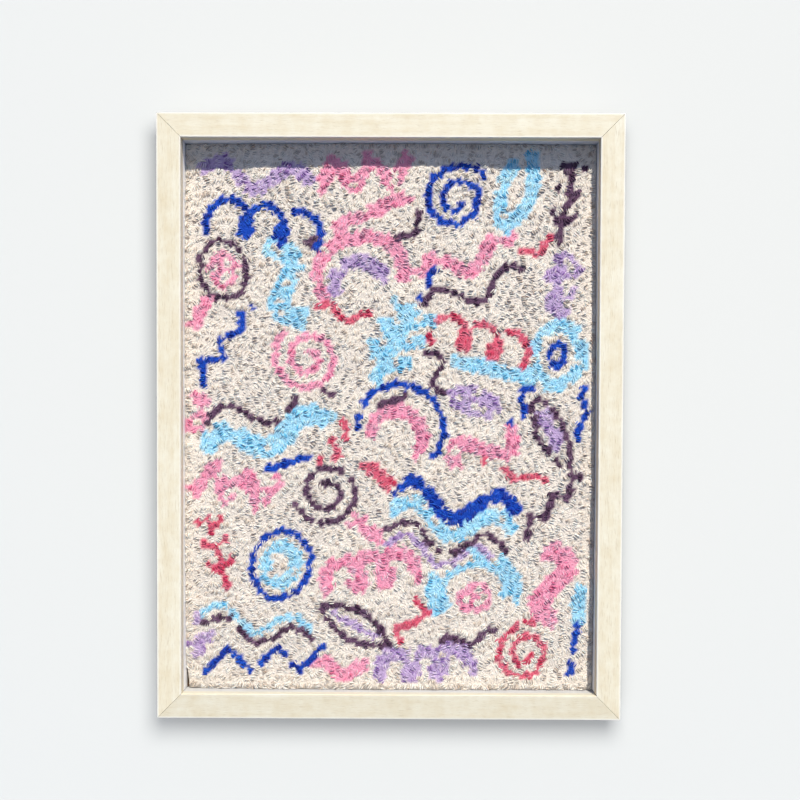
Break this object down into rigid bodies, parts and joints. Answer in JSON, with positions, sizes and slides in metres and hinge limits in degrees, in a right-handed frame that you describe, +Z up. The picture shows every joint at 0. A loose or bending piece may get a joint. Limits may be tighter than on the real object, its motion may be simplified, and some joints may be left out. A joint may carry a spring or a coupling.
{
  "type": "framed punch needle wall piece",
  "caption": "Loop-pile punch needle cloth with a bright pattern of lines on an oatmeal ground, set back in an open box frame of pale limed wood that hangs on a wall.",
  "frame": {"origin": "on the wall plane, in the middle of the top rail's back face", "axes": "the front faces -Y and the back +Y; +Z is up; +X is to the right seen from the front"},
  "size_m": [0.334, 0.03, 0.4339],
  "materials": {
    "limed_wood": "pale limed hardwood, matt waxed, with fine lengthwise grain",
    "white_paint": "matt white paint on a thin wooden strip",
    "dark_hardboard": "dark brown pressed wood fibre, matt",
    "punched_yarn": "plied wool yarn in loop pile, oatmeal with pink, rose, cobalt, sky, lavender and plum lines"
  },
  "bodies": {
    "root": {"rail_top": "limed_wood", "rail_bottom": "limed_wood", "rail_left": "limed_wood", "rail_right": "limed_wood", "spacer_top": "white_paint", "spacer_bottom": "white_paint", "spacer_left": "white_paint", "spacer_right": "white_paint", "back_board": "dark_hardboard", "punched_cloth": "punched_yarn"}
  },
  "joints": []
}
